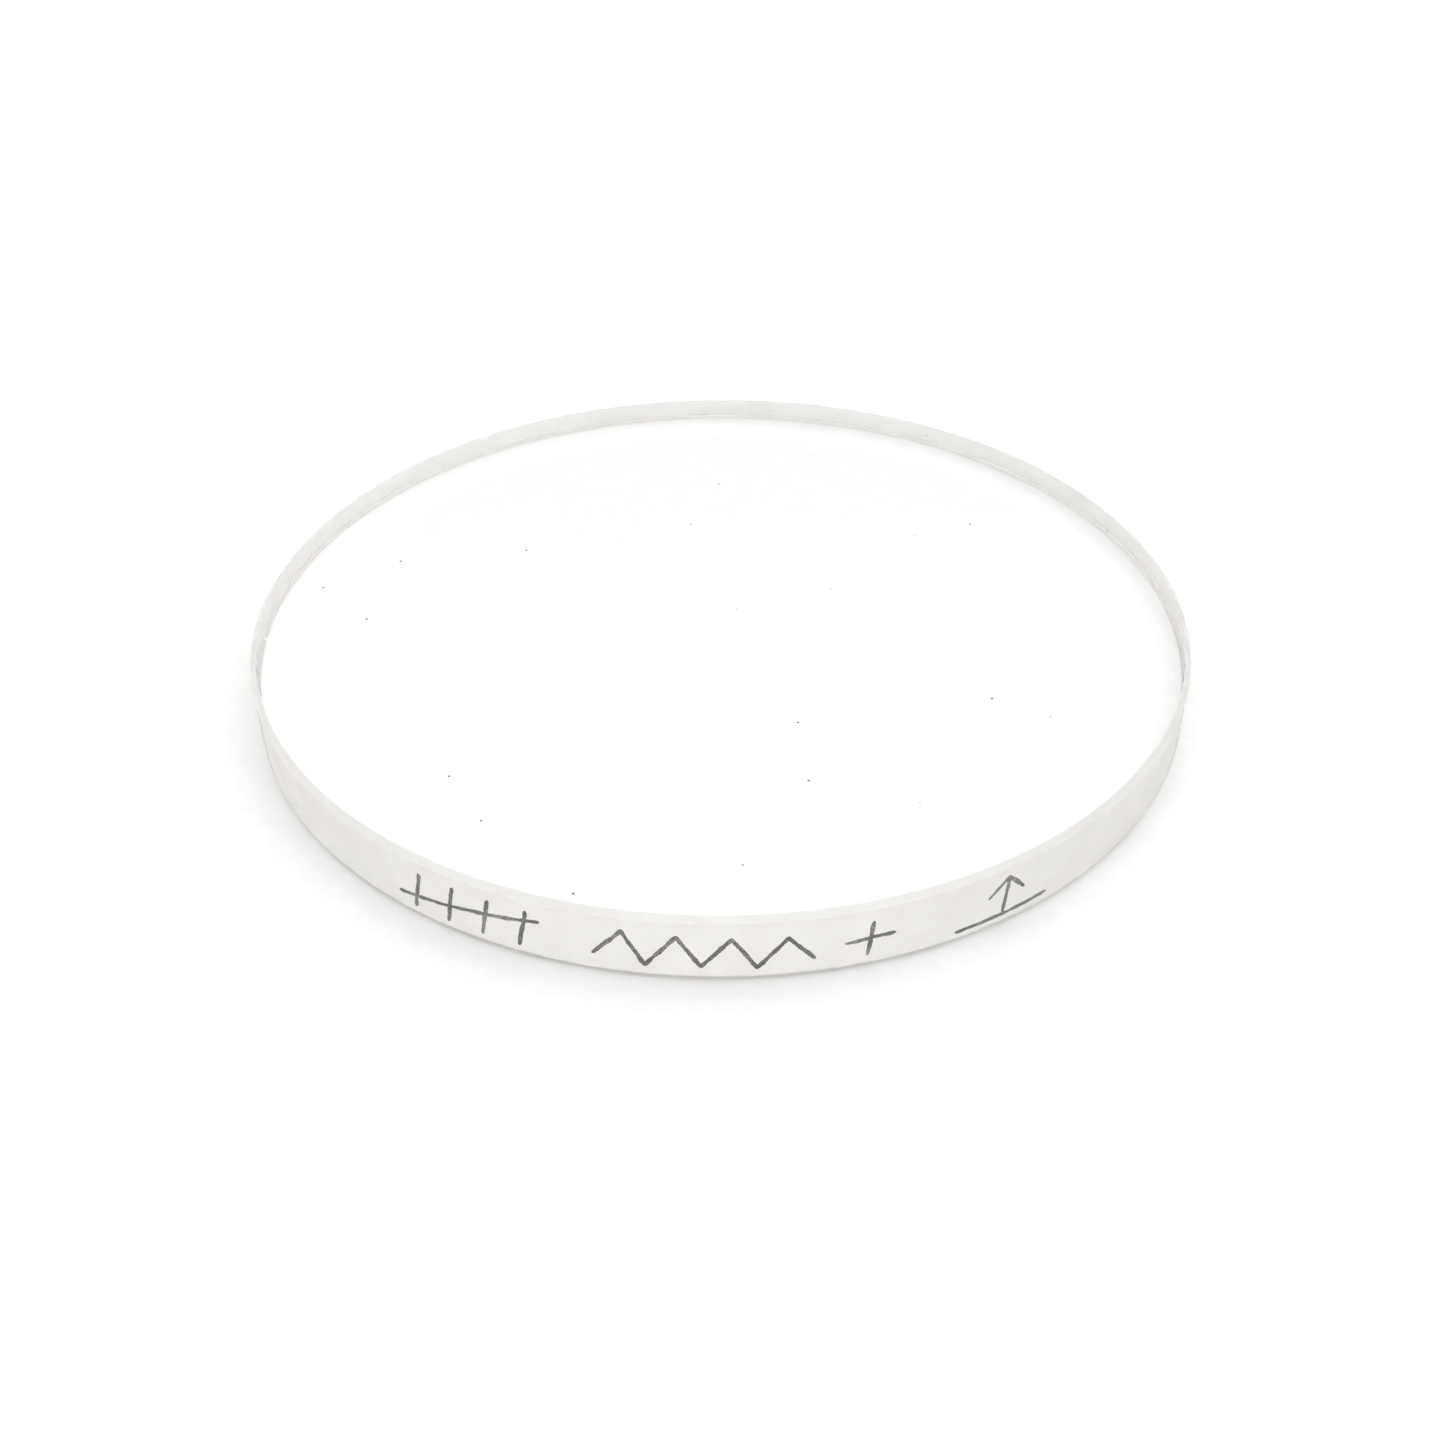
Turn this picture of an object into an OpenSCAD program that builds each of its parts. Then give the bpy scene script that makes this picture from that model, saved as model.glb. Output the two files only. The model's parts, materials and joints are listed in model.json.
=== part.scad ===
// Optical glass disc: a flat window or test plate with two polished faces, a fine-ground rim,
// a 45 degree bevel round each face and the optician's pencil marks on the rim.
// It lies on its lower face. The origin is the centre of that face, +Z is up,
// and the pencil marks are on the -Y side, reading upright from there.

/* [Disc] */
// Diameter of the disc
disc_d = 100; // [80:0.5:150]
// Thickness between the two polished faces
disc_t = 7.3; // [6.5:0.1:12]
// Width of the 45 degree bevel round each face
bevel_w = 0.55; // [0.2:0.05:0.6]

/* [Pencil marks] */
// Width of a pencil line
line_w = 0.4; // [0.3:0.05:0.6]
// Height that the graphite stands above the ground rim
line_h = 0.02; // [0.01:0.01:0.05]

/* [Hidden] */
$fn = 180;

disc_r = disc_d / 2;
glass_colour = [0.90, 0.93, 0.93, 0.45];
graphite_colour = [0.30, 0.30, 0.32];

// Each drawing is in mm on the unrolled rim: [along the rim from its own middle,
// up from the lower face]. These are the places of their middles along the rim.
tally_at = -23.5;
zigzag_at = -1.5;
cross_at = 13;
arrow_at = 26.5;

// Four leaning strokes and the long one that crosses them
tally_pitch = 3.7;
tally_low = 1.2;
tally_high = 5.6;
tally_lean = 0.9;
tally_slash = [[-7.9, 2.3], [7.3, 4.6]];

// The line that is drawn to and fro along the rim
zigzag = [
    [-10, 2.2], [-7.3, 5.3], [-5.3, 1.6], [-2.5, 5.1], [-0.4, 1.7],
    [2.3, 5.0], [4.5, 1.5], [7.2, 4.8], [9.6, 2.0]
];

// An upright line and a short bar across it
cross_upright = [[-0.2, 1.4], [0.3, 5.4]];
cross_bar = [[-2.3, 3.3], [2.4, 3.6]];

// A base line, and an arrow from it to the upper face
arrow_base = [[-5.2, 1.3], [5.2, 1.6]];
arrow_tip = [0.3, 5.7];
arrow_foot = [-0.1, 1.5];
arrow_barbs = [[-1.9, 3.9], [2.2, 3.7]];

// ---- the glass ----

// The disc, turned from half of its cross-section
module glass_disc() {
    color(glass_colour)
    rotate_extrude()
    polygon([
        [0, 0], [disc_r - bevel_w, 0], [disc_r, bevel_w],
        [disc_r, disc_t - bevel_w], [disc_r - bevel_w, disc_t], [0, disc_t]
    ]);
}

// ---- the pencil marks ----

// A straight pencil line with blunt pointed ends, flat on the unrolled rim
module line(from, to) {
    run = to - from;
    reach = norm(run) + line_w;
    translate((from + to) / 2)
    rotate(atan2(run[1], run[0]))
    polygon([
        [-reach / 2, 0], [-reach / 2 + line_w, -line_w / 2], [reach / 2 - line_w, -line_w / 2],
        [reach / 2, 0], [reach / 2 - line_w, line_w / 2], [-reach / 2 + line_w, line_w / 2]
    ]);
}

// Lines through all of the points in turn
module run_of_lines(points) {
    for (i = [1 : len(points) - 1]) line(points[i - 1], points[i]);
}

// The skin of the ground rim, as thick as the graphite
module rim_skin() {
    rotate_extrude()
    translate([disc_r, bevel_w])
    square([line_h, disc_t - 2 * bevel_w]);
}

// A drawing wrapped onto the rim, with its middle this far along the rim from the -Y side
module on_rim(along) {
    color(graphite_colour)
    intersection() {
        rim_skin();
        rotate([0, 0, along / disc_r * 180 / PI])
        translate([0, -disc_r * 0.9, 0])
        rotate([90, 0, 0])
        linear_extrude(disc_r * 0.2)
        children();
    }
}

module tally_marks() {
    on_rim(tally_at) {
        for (i = [-1.5 : 1.5])
            line([i * tally_pitch - tally_lean / 2, tally_low],
                 [i * tally_pitch + tally_lean / 2, tally_high]);
        line(tally_slash[0], tally_slash[1]);
    }
}

module witness_zigzag() {
    on_rim(zigzag_at) run_of_lines(zigzag);
}

module centre_cross() {
    on_rim(cross_at) {
        line(cross_upright[0], cross_upright[1]);
        line(cross_bar[0], cross_bar[1]);
    }
}

module face_arrow() {
    on_rim(arrow_at) {
        line(arrow_base[0], arrow_base[1]);
        line(arrow_foot, arrow_tip);
        for (barb = arrow_barbs) line(barb, arrow_tip);
    }
}

glass_disc();
tally_marks();
witness_zigzag();
centre_cross();
face_arrow();
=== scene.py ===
"""Looks for the optical glass disc: clear glass with polished faces, a fine-ground rim and bevels,
and an optician's pencil marks on the rim, lying on white paper in soft light.

Lengths are in metres in the row frame. The drawings on the rim are in millimetres: how far along
the rim and how far up from the lower face."""

import json
import math
import random

import bmesh
import bpy
from mathutils import Matrix, Vector, noise


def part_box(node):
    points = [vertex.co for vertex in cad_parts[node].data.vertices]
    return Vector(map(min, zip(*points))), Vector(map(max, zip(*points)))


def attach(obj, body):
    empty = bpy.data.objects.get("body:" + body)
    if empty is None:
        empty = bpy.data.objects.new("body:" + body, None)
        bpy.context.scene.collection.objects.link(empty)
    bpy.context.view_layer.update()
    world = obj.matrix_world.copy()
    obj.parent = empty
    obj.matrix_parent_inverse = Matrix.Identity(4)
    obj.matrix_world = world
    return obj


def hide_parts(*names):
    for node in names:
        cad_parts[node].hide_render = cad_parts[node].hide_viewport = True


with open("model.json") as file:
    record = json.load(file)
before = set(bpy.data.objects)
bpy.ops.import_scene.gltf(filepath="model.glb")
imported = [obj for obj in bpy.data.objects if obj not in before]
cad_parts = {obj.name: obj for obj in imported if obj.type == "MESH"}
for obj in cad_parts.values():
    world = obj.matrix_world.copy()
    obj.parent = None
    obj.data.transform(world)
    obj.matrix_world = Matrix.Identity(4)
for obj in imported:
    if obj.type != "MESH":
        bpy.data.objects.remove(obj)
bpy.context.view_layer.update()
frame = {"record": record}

MM = 0.001

# ---- sizes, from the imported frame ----

disc_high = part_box("glass_disc")[1]
RADIUS = disc_high.x
THICKNESS = disc_high.z
rim_mount = next(m for m in frame["record"]["mounts"] if m["name"] == "rim")
BEVEL = (THICKNESS - rim_mount["dims"]["length_mm"] * MM) / 2

# ---- the glass ----

SEGMENTS = 2048  # round the rim, fine enough for its smallest chips
EDGE_ROUND = 0.03 * MM  # how far each ground edge is worn round
EDGES = ("low_face", "low_rim", "top_rim", "top_face")
CHIPS_PER_EDGE = 16
SMALLEST_CHIP = 0.08 * MM
LARGEST_CHIP = 0.30 * MM
SMALL_CHIP_BIAS = 2.6  # higher means that fewer of the chips are large
CHIP_DEPTH = 0.30  # of a chip's half width
CHIP_SEED = 7
SHARP_ANGLE = math.radians(30)
GLASS_IOR = 1.517
POLISHED, GROUND = 0, 1  # the disc's two materials
FROST_CLEARNESS = 0.85  # share of the ground glass's light that passes through it
SLEEK_ROUGHNESS = 0.10  # what a hairline adds to a polished face's roughness
RUB_SMOOTHING = 0.22  # what rubbing takes off the ground glass's roughness
WHEEL_RELIEF = 0.8  # how high the wheel's lines are beside the pits
SPECK_CORE = 0.7  # share of a speck's radius that is fully opaque

# ---- the pencil marks ----

LINE_WIDTH = 0.42  # mm
LINE_HEIGHT = 0.016 * MM
LINE_BASE = 0.001 * MM  # the lines' edges clear the glass by this
LINE_STEP = 0.10  # mm between the cross-sections of a line
TAPER = 0.35  # mm over which a line's end narrows
BLUNT_END = 0.03  # mm of a taper that is missing, so that an end isn't a point
AHEAD = 2  # steps to look ahead and back for a line's direction
# Each kind of unevenness is: how much, how fast it changes from step to step, what to multiply
# a stroke's seed by
WANDER = (0.10, 0.045, 3.7)  # mm to each side
SWELL = (0.42, 0.11, 5.1)  # share of the width, from the pencil's pressure
RAGGED = (0.34, 0.6, 2.3)  # share of the half width, on each side alone
# Each mark is: the CAD node, the place of its middle along the rim, and its pencil strokes
MARKS = {
    "tally_marks": (-23.5, [
        [(-6.0, 1.2), (-5.1, 5.6)],
        [(-2.3, 1.2), (-1.4, 5.6)],
        [(1.4, 1.2), (2.3, 5.6)],
        [(5.1, 1.2), (6.0, 5.6)],
        [(-7.9, 2.3), (7.3, 4.6)],
    ]),
    "witness_zigzag": (-1.5, [
        [(-10, 2.2), (-7.3, 5.3), (-5.3, 1.6), (-2.5, 5.1), (-0.4, 1.7),
         (2.3, 5.0), (4.5, 1.5), (7.2, 4.8), (9.6, 2.0)],
    ]),
    "centre_cross": (13, [
        [(-0.2, 1.4), (0.3, 5.4)],
        [(-2.3, 3.3), (2.4, 3.6)],
    ]),
    "face_arrow": (26.5, [
        [(-5.2, 1.3), (5.2, 1.6)],
        [(-0.1, 1.5), (0.3, 5.7)],
        [(-1.9, 3.9), (0.3, 5.7), (2.2, 3.7)],
    ]),
}

# ---- the light: even all round, plus lobes ----

BASE_LIGHT = 0.375
# Each lobe is: its direction, the cosines to it at its border and where it is full, its strength
LIGHT_LOBES = (
    ((0, 1, 0.2), -0.9, 0.6, 0.27),
    ((0.06, 0.04, 1), 0.5, 0.95, 1.20),
    ((0.9, -0.45, 0.5), 0.4, 0.95, 0.32),
)

DEEP_BOUNCES = 40  # of light in the glass
DIFFUSE_BOUNCES = 8

# ---- colours ----

DUST = (0.07, 0.06, 0.05, 1)
CLEAR = (1, 1, 1, 1)
STAINED_FROST = (0.88, 0.862, 0.832, 1)
CLEAN_FROST = (0.93, 0.915, 0.888, 1)
RUBBED_FROST = (0.985, 0.98, 0.97, 1)
# painted shade: the lower bevel's dark colour where it faces the shaded paper, mostly at the front
LOWER_BEVEL_SHADE = (0.36, 0.34, 0.31, 1)
HEAVY_PENCIL = (0.085, 0.082, 0.082, 1)
LIGHT_PENCIL = (0.40, 0.385, 0.375, 1)
PAPER_DIPS = (0.868, 0.868, 0.872, 1)
PAPER_HILLS = (0.892, 0.892, 0.888, 1)

# ---- the Mix node's sockets for colours, which share their names with its other sockets ----

COLOUR_A, COLOUR_B, COLOUR_RESULT = 6, 7, 2

# ---- the paper and the camera ----

PAPER_REACH = 3.0  # to each side of the disc's middle
PAPER_GAP = 0.05 * MM  # the film of air under the disc
LENS, SENSOR = 41.36, 36  # mm
CAMERA_AWAY = 1.852 * 2 * RADIUS  # from the middle of the lower face
CAMERA_ELEVATION = math.radians(34.47)
CAMERA_ROLL = math.radians(-0.30)
CAMERA_PAN = -0.0009  # radians
CAMERA_TILT = -0.0397  # radians


# ---- shapes ----

def rim_profile():
    """Half of the disc's cross-section, from the lower face's border to the upper one's, as
    (radius, height, name of the edge that the point is on or None)."""
    r, t, b, e = RADIUS, THICKNESS, BEVEL, EDGE_ROUND
    slant = e * math.sqrt(0.5)
    dip = e * 0.18  # how far a rounded edge lies inside the sharp one
    return [
        (r - b - e, 0, None),
        (r - b, dip, "low_face"),
        (r - b + slant, slant, None),
        (r - slant, b - slant, None),
        (r - dip, b, "low_rim"),
        (r, b + e, None),
        (r, t / 2, None),
        (r, t - b - e, None),
        (r - dip, t - b, "top_rim"),
        (r - slant, t - b + slant, None),
        (r - b + slant, t - slant, None),
        (r - b, t - dip, "top_face"),
        (r - b - e, t, None),
    ]


def chip_depths(rng):
    """How deep the chips bite at each segment of one edge."""
    depths = [0.0] * SEGMENTS
    for _ in range(CHIPS_PER_EDGE):
        size = rng.random() ** SMALL_CHIP_BIAS
        half = SMALLEST_CHIP * (LARGEST_CHIP / SMALLEST_CHIP) ** size
        centre = rng.random() * SEGMENTS
        reach = half / RADIUS * SEGMENTS / (2 * math.pi)
        for k in range(math.ceil(centre - reach), math.floor(centre + reach) + 1):
            deep = CHIP_DEPTH * half * (1 - ((k - centre) / reach) ** 2)
            depths[k % SEGMENTS] = max(depths[k % SEGMENTS], deep)
    return depths


def glass_row(bm, radius, height, depths):
    """One ring of points round the disc, bitten into by the chips of its edge."""
    inward = 1 if height < THICKNESS / 2 else -1
    row = []
    for k in range(SEGMENTS):
        a = 2 * math.pi * k / SEGMENTS
        bite = depths[k] * math.sqrt(0.5)
        r = radius - bite
        row.append(bm.verts.new((r * math.cos(a), r * math.sin(a), height + inward * bite)))
    return row


def make_glass():
    """The disc: its ground rim and bevels swept round, and its two polished faces."""
    rng = random.Random(CHIP_SEED)
    depths = {edge: chip_depths(rng) for edge in EDGES}
    depths[None] = [0.0] * SEGMENTS
    bm = bmesh.new()
    rows = [glass_row(bm, r, z, depths[edge]) for r, z, edge in rim_profile()]
    for low, high in zip(rows, rows[1:]):
        for k in range(SEGMENTS):
            n = (k + 1) % SEGMENTS
            bm.faces.new((low[k], low[n], high[n], high[k])).material_index = GROUND
    for row, z in ((rows[0], 0.0), (rows[-1], THICKNESS)):
        middle = bm.verts.new((0, 0, z))
        for k in range(SEGMENTS):
            n = (k + 1) % SEGMENTS
            bm.faces.new((row[k], row[n], middle)).material_index = POLISHED
    bmesh.ops.recalc_face_normals(bm, faces=bm.faces[:])
    me = bpy.data.meshes.new("polished_disc")
    bm.to_mesh(me)
    bm.free()
    # the sharp edges come before the shading, because marking them makes every face smooth
    me.set_sharp_from_angle(angle=SHARP_ANGLE)
    for face in me.polygons:
        face.use_smooth = face.material_index == GROUND
    me.materials.append(polished_glass())
    me.materials.append(ground_glass())
    return bpy.data.objects.new("polished_disc", me)


def on_rim(along, up, out):
    """The point this far along the rim from its -Y side, up from the lower face and out of it."""
    a = along / RADIUS - math.pi / 2
    r = RADIUS + out
    return Vector((r * math.cos(a), r * math.sin(a), up))


def trace(corners):
    """Points every LINE_STEP or so along the straight runs between the corners."""
    path = []
    for a, b in zip(corners, corners[1:]):
        steps = max(2, round((b - a).length / LINE_STEP))
        path += [a.lerp(b, k / steps) for k in range(steps)]
    return path + [corners[-1]]


def uneven(kind, k, seed, channel):
    """How uneven a line is at step k, to either side of 0. Each seed and channel differs."""
    amount, pace, seed_factor = kind
    return amount * noise.noise(Vector((k * pace, seed * seed_factor, channel)))


def add_stroke(bm, corners, seed):
    """One pencil line: a thin ridge with wandering, ragged edges and tapered ends."""
    path = trace(corners)
    last = len(path) - 1
    rings = []
    for k, p in enumerate(path):
        run = (path[min(k + AHEAD, last)] - path[max(k - AHEAD, 0)]).normalized()
        side = Vector((-run.y, run.x))
        centre = p + side * uneven(WANDER, k, seed, channel=0)
        end = min(1, (min(k, last - k) * LINE_STEP + BLUNT_END) / TAPER) ** 0.5
        half = LINE_WIDTH / 2 * (1 + uneven(SWELL, k, seed, channel=4)) * end
        left = centre + side * half * (1 + uneven(RAGGED, k, seed, channel=0))
        right = centre - side * half * (1 + uneven(RAGGED, k, seed, channel=9))
        section = ((left, LINE_BASE), (centre, LINE_HEIGHT), (right, LINE_BASE),
                   (centre, LINE_BASE / 2))
        rings.append([bm.verts.new(on_rim(q.x * MM, q.y * MM, out)) for q, out in section])
    for low_ring, high_ring in zip(rings, rings[1:]):
        for k in range(4):
            n = (k + 1) % 4
            bm.faces.new((low_ring[k], low_ring[n], high_ring[n], high_ring[k]))
    bm.faces.new(rings[0])
    bm.faces.new(rings[-1])


def make_mark(node, middle, strokes, material):
    """The pencil strokes that stand for one CAD node, as one piece."""
    name = node + "_line"
    bm = bmesh.new()
    for i, stroke in enumerate(strokes):
        corners = [Vector((middle + u, v)) for u, v in stroke]
        add_stroke(bm, corners, seed=len(name) * 10 + i)
    bmesh.ops.recalc_face_normals(bm, faces=bm.faces[:])
    me = bpy.data.meshes.new(name)
    bm.to_mesh(me)
    bm.free()
    me.materials.append(material)
    return bpy.data.objects.new(name, me)


# ---- shader nodes: a value is a number, a colour or another node's output ----

def put(tree, socket, value):
    """Gives a socket a value, or links it to the node's output that it is given."""
    if isinstance(value, bpy.types.NodeSocket):
        tree.links.new(value, socket)
    else:
        socket.default_value = value


def principled(name):
    """A new material: its node tree, its shader and itself."""
    m = bpy.data.materials.new(name)
    m.use_nodes = True
    return m.node_tree, m.node_tree.nodes["Principled BSDF"], m


def place_on_piece(tree):
    """The place on the piece, in metres in the row frame."""
    return tree.nodes.new("ShaderNodeTexCoord").outputs["Object"]


def math_node(tree, operation, a, b=0.0):
    n = tree.nodes.new("ShaderNodeMath")
    n.operation = operation
    put(tree, n.inputs[0], a)
    put(tree, n.inputs[1], b)
    return n.outputs[0]


def stretched(tree, at, sizes, turn=0.0):
    """The place measured in units of sizes along the three axes, turned about Z."""
    n = tree.nodes.new("ShaderNodeMapping")
    put(tree, n.inputs["Vector"], at)
    n.inputs["Rotation"].default_value = (0, 0, turn)
    n.inputs["Scale"].default_value = [1 / s for s in sizes]
    return n.outputs["Vector"]


def grain(tree, at, size, detail=2.0, roughness=0.5):
    """Cloudy noise of this grain size, about 0.5 on average."""
    n = tree.nodes.new("ShaderNodeTexNoise")
    put(tree, n.inputs["Vector"], at)
    n.inputs["Scale"].default_value = 1 / size
    n.inputs["Detail"].default_value = detail
    n.inputs["Roughness"].default_value = roughness
    return n.outputs["Fac"]


def specks(tree, at, cell, radius):
    """1 inside scattered balls, about one for each cell of space, and 0 outside them."""
    n = tree.nodes.new("ShaderNodeTexVoronoi")
    put(tree, n.inputs["Vector"], at)
    n.inputs["Scale"].default_value = 1 / cell
    return span(tree, n.outputs["Distance"], radius / cell, radius / cell * SPECK_CORE, 0.0, 1.0)


def span(tree, value, low, high, to_low, to_high):
    """The value taken from low..high to to_low..to_high, smoothly and no further."""
    n = tree.nodes.new("ShaderNodeMapRange")
    n.interpolation_type = "SMOOTHSTEP"
    put(tree, n.inputs["Value"], value)
    ends = ("From Min", low), ("From Max", high), ("To Min", to_low), ("To Max", to_high)
    for name, number in ends:
        n.inputs[name].default_value = number
    return n.outputs["Result"]


def blend(tree, share, a, b):
    """Colour a where share is 0, and colour b where it is 1."""
    n = tree.nodes.new("ShaderNodeMix")
    n.data_type = "RGBA"
    put(tree, n.inputs[0], share)
    put(tree, n.inputs[COLOUR_A], a)
    put(tree, n.inputs[COLOUR_B], b)
    return n.outputs[COLOUR_RESULT]


def bumps(tree, height, strength, depth):
    n = tree.nodes.new("ShaderNodeBump")
    put(tree, n.inputs["Height"], height)
    n.inputs["Strength"].default_value = strength
    n.inputs["Distance"].default_value = depth
    return n.outputs["Normal"]


# ---- materials ----

def polished_glass():
    """Clear glass with a little dust, faint hazy smudges and hairline polishing marks."""
    tree, p, m = principled("polished_glass")
    at = place_on_piece(tree)
    dust = specks(tree, at, cell=6.5 * MM, radius=0.17 * MM)
    haze = grain(tree, at, size=26 * MM, detail=3)
    smudge = span(tree, haze, 0.50, 0.78, to_low=0.0, to_high=0.05)
    hair = stretched(tree, at, (38 * MM, 0.30 * MM, 0.30 * MM), turn=0.5)
    sleek = span(tree, grain(tree, hair, size=1.0, detail=1), 0.74, 0.80, to_low=0.0, to_high=1.0)
    scratched = math_node(tree, "MULTIPLY", sleek, SLEEK_ROUGHNESS)
    rough = math_node(tree, "ADD", smudge, scratched)
    put(tree, p.inputs["Base Color"], blend(tree, dust, CLEAR, DUST))
    put(tree, p.inputs["Roughness"], rough)
    put(tree, p.inputs["Normal"], bumps(tree, sleek, strength=0.05, depth=0.001 * MM))
    p.inputs["Transmission Weight"].default_value = 1.0
    p.inputs["IOR"].default_value = GLASS_IOR
    return m


def painted_bevel_shade(tree, height, depth):
    """1 where shade is painted: on the lower bevel, which faces the shaded paper under the rim,
    and less towards the back.
    """
    low = span(tree, height, BEVEL * 0.8, BEVEL * 1.3, to_low=1.0, to_high=0.0)
    front = span(tree, depth, -0.7 * RADIUS, 0.2 * RADIUS, to_low=1.0, to_high=0.0)
    return math_node(tree, "MULTIPLY", low, front)


def rubbed_edges(tree, at, height):
    """1 in the worn patches along the two edges where the rim meets the bevels."""
    from_middle = math_node(
        tree, "ABSOLUTE", math_node(tree, "SUBTRACT", height, THICKNESS / 2))
    from_edge = math_node(
        tree, "ABSOLUTE", math_node(tree, "SUBTRACT", from_middle, THICKNESS / 2 - BEVEL))
    near_edge = span(tree, from_edge, 0.04 * MM, 0.16 * MM, to_low=1.0, to_high=0.0)
    patches = grain(tree, at, size=1.7 * MM, detail=3)
    worn = span(tree, patches, 0.42, 0.62, to_low=0.0, to_high=1.0)
    return math_node(tree, "MULTIPLY", near_edge, worn)


def ground_glass():
    """Frosted glass off a grinding wheel: grain, lines along the rim, stains, rubbed edges and
    painted shade on the lower bevel.
    """
    tree, p, m = principled("ground_glass")
    at = place_on_piece(tree)
    place = tree.nodes.new("ShaderNodeSeparateXYZ")
    put(tree, place.inputs[0], at)
    clouds = grain(tree, at, size=3.6 * MM, detail=4, roughness=0.6)
    clean = span(tree, clouds, 0.32, 0.68, to_low=0.0, to_high=1.0)
    # painted shade on the lower bevel, darker towards the front
    bevel_shade = painted_bevel_shade(tree, place.outputs["Z"], place.outputs["Y"])
    rubbed = rubbed_edges(tree, at, place.outputs["Z"])
    frost = blend(tree, clean, STAINED_FROST, CLEAN_FROST)
    stained_and_shaded = blend(tree, bevel_shade, frost, LOWER_BEVEL_SHADE)
    wheel = grain(tree, stretched(tree, at, (11 * MM, 11 * MM, 0.22 * MM)), size=1.0, detail=2)
    pits = grain(tree, at, size=0.13 * MM, detail=3, roughness=0.65)
    matt = span(tree, wheel, 0.30, 0.70, to_low=0.50, to_high=0.62)
    smoothing = math_node(tree, "MULTIPLY", rubbed, RUB_SMOOTHING)
    rough = math_node(tree, "SUBTRACT", matt, smoothing)
    relief = math_node(tree, "ADD", pits, math_node(tree, "MULTIPLY", wheel, WHEEL_RELIEF))
    put(tree, p.inputs["Base Color"], blend(tree, rubbed, stained_and_shaded, RUBBED_FROST))
    put(tree, p.inputs["Roughness"], rough)
    put(tree, p.inputs["Normal"], bumps(tree, relief, strength=0.35, depth=0.02 * MM))
    p.inputs["Transmission Weight"].default_value = FROST_CLEARNESS
    p.inputs["IOR"].default_value = GLASS_IOR
    return m


def graphite():
    """Pencil on a ground surface: dark where it has bitten, grey where the grain shows through."""
    tree, p, m = principled("graphite")
    at = place_on_piece(tree)
    fine = grain(tree, at, size=0.15 * MM, detail=2)
    coarse = grain(tree, at, size=2.6 * MM, detail=2)
    tooth = span(tree, fine, 0.36, 0.64, to_low=0.0, to_high=1.0)
    pressure = span(tree, coarse, 0.34, 0.66, to_low=0.25, to_high=1.0)
    bare = math_node(tree, "MULTIPLY", tooth, pressure)
    put(tree, p.inputs["Base Color"], blend(tree, bare, HEAVY_PENCIL, LIGHT_PENCIL))
    put(tree, p.inputs["Roughness"], span(tree, tooth, 0.0, 1.0, to_low=0.36, to_high=0.62))
    put(tree, p.inputs["Normal"], bumps(tree, tooth, strength=0.4, depth=0.006 * MM))
    p.inputs["Specular IOR Level"].default_value = 0.6
    return m


def white_paper():
    """Matt white paper, faintly cloudy, with short fibres."""
    tree, p, m = principled("paper")
    at = place_on_piece(tree)
    clouds = grain(tree, at, size=2.2 * MM, detail=5, roughness=0.7)
    hills = span(tree, clouds, 0.3, 0.7, to_low=0.0, to_high=1.0)
    fibres = grain(tree, stretched(tree, at, (0.9 * MM, 0.35 * MM, 1.0)), size=1.0, detail=3)
    put(tree, p.inputs["Base Color"], blend(tree, hills, PAPER_DIPS, PAPER_HILLS))
    put(tree, p.inputs["Normal"], bumps(tree, fibres, strength=0.3, depth=0.02 * MM))
    p.inputs["Roughness"].default_value = 0.9
    p.inputs["Specular IOR Level"].default_value = 0.0
    return m


# ---- the stage ----

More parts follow.
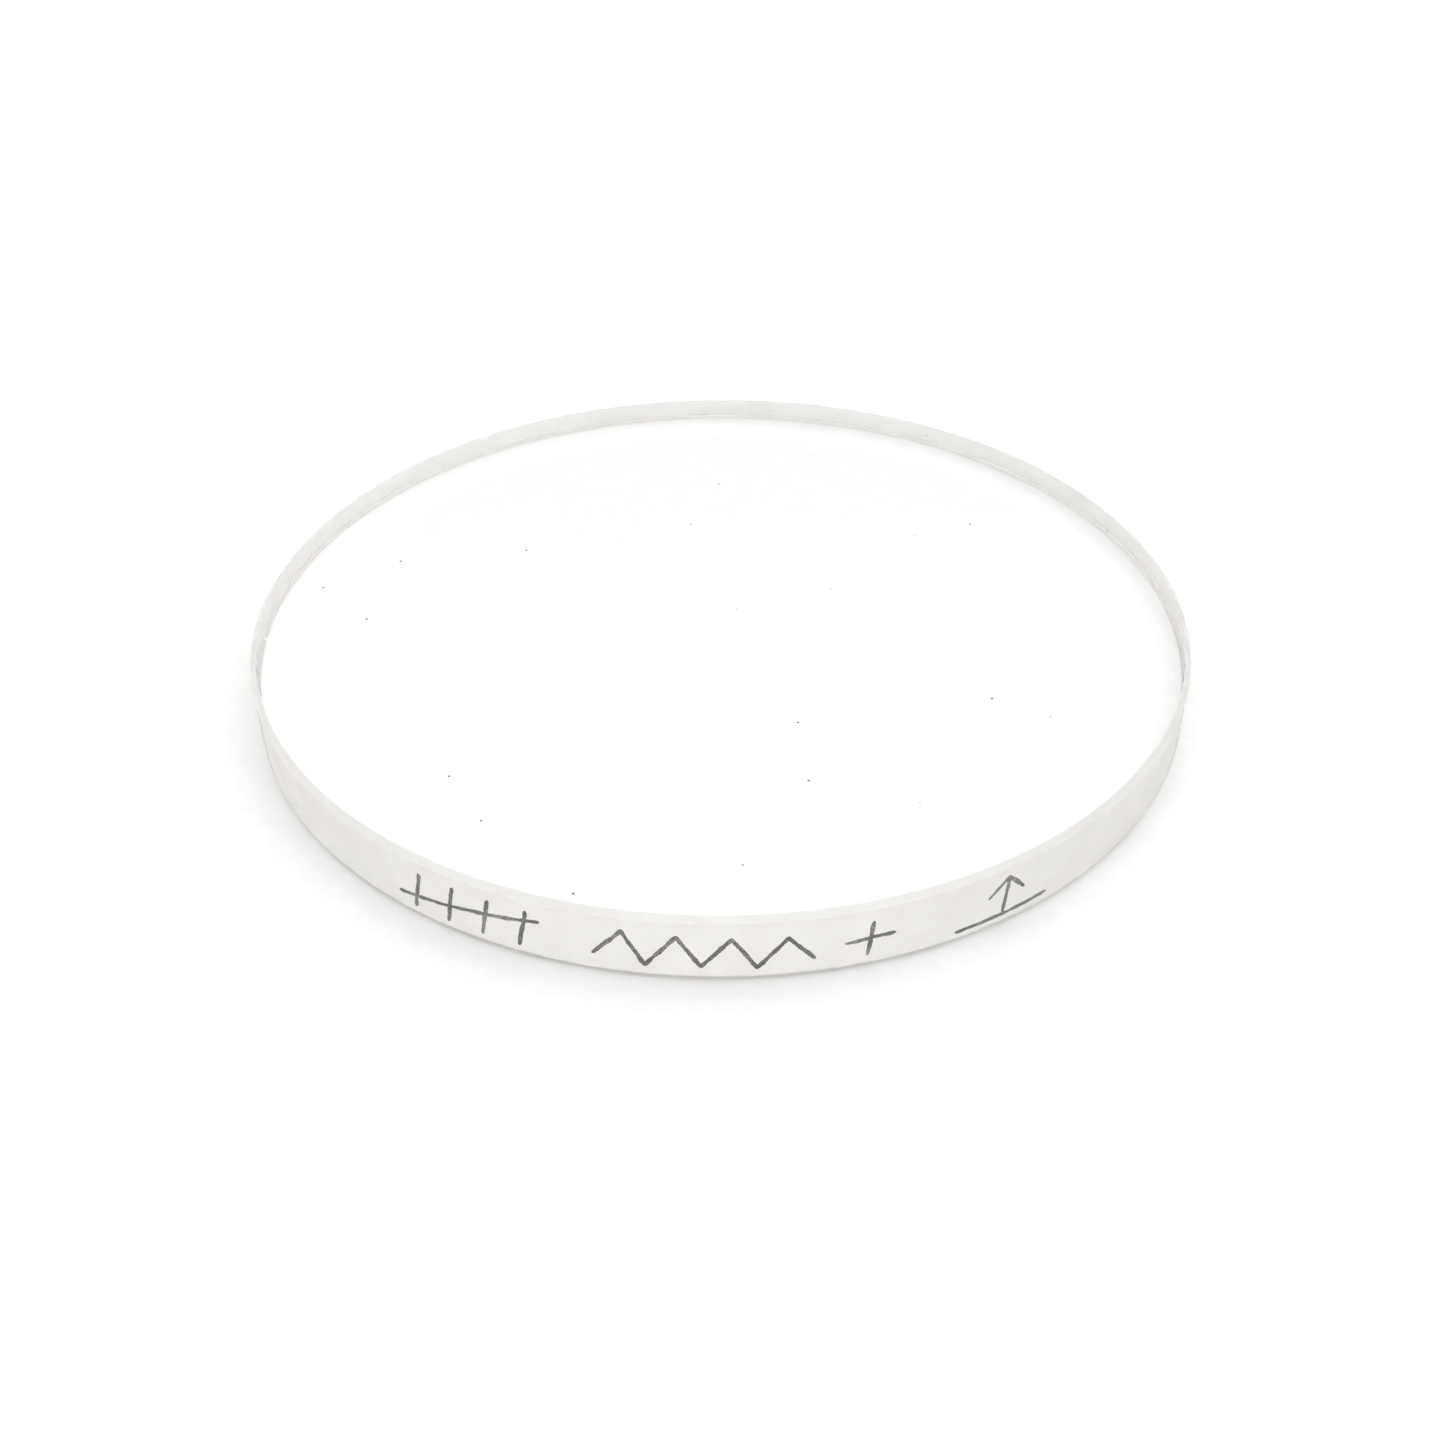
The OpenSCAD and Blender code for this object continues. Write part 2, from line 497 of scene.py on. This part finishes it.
def make_light():
    """Soft light painted on the sky: even all round, with wide lobes from behind, from overhead
    and from the right."""
    world = bpy.data.worlds.new("studio")
    world.use_nodes = True
    tree = world.node_tree
    way = tree.nodes.new("ShaderNodeTexCoord").outputs["Generated"]
    total = BASE_LIGHT
    for direction, start, full, strength in LIGHT_LOBES:
        facing = tree.nodes.new("ShaderNodeVectorMath")
        facing.operation = "DOT_PRODUCT"
        put(tree, facing.inputs[0], way)
        facing.inputs[1].default_value = Vector(direction).normalized()
        lobe = span(tree, facing.outputs["Value"], start, full, 0.0, strength)
        total = math_node(tree, "ADD", lobe, total)
    put(tree, tree.nodes["Background"].inputs["Strength"], total)
    tree.nodes["Background"].inputs["Color"].default_value = (1, 1, 1, 1)
    bpy.context.scene.world = world


def make_paper():
    """The sheet of white paper that the disc lies on."""
    s, z = PAPER_REACH, -PAPER_GAP
    me = bpy.data.meshes.new("paper")
    me.from_pydata([(-s, -s, z), (s, -s, z), (s, s, z), (-s, s, z)], [], [(0, 1, 2, 3)])
    me.materials.append(white_paper())
    paper = bpy.data.objects.new("paper", me)
    bpy.context.scene.collection.objects.link(paper)


def make_camera():
    """Looks at the disc's middle from its -Y side, then turns a little on its own axes."""
    cam = bpy.data.cameras.new("camera")
    cam.sensor_width = SENSOR
    cam.lens = LENS
    cam.clip_start = 1 * MM
    across, up = math.cos(CAMERA_ELEVATION), math.sin(CAMERA_ELEVATION)
    place = Matrix.Translation((0, -CAMERA_AWAY * across, CAMERA_AWAY * up))
    aim = Matrix.Rotation(math.pi / 2 - CAMERA_ELEVATION, 4, "X")
    turns = (CAMERA_ROLL, "Z"), (CAMERA_PAN, "Y"), (CAMERA_TILT, "X")
    for angle, axis in turns:
        aim = aim @ Matrix.Rotation(angle, 4, axis)
    camera = bpy.data.objects.new("camera", cam)
    camera.matrix_world = place @ aim
    bpy.context.scene.collection.objects.link(camera)
    bpy.context.scene.camera = camera


def set_light_paths():
    """Light in the disc meets its faces and rim many times before it comes out. The glossy blur
    would darken what is seen through the glass, and the Standard view keeps white paper white."""
    cycles = bpy.context.scene.cycles
    cycles.max_bounces = DEEP_BOUNCES
    cycles.glossy_bounces = DEEP_BOUNCES
    cycles.transmission_bounces = DEEP_BOUNCES
    cycles.diffuse_bounces = DIFFUSE_BOUNCES
    cycles.blur_glossy = 0.0
    bpy.context.scene.view_settings.view_transform = "Standard"


def add_piece(piece, node):
    """Puts a piece in the scene in place of its CAD node."""
    bpy.context.scene.collection.objects.link(piece)
    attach(piece, "root")
    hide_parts(node)


add_piece(make_glass(), "glass_disc")
pencil = graphite()
for node, (middle, strokes) in MARKS.items():
    add_piece(make_mark(node, middle, strokes, pencil), node)
make_paper()
make_light()
make_camera()
set_light_paths()
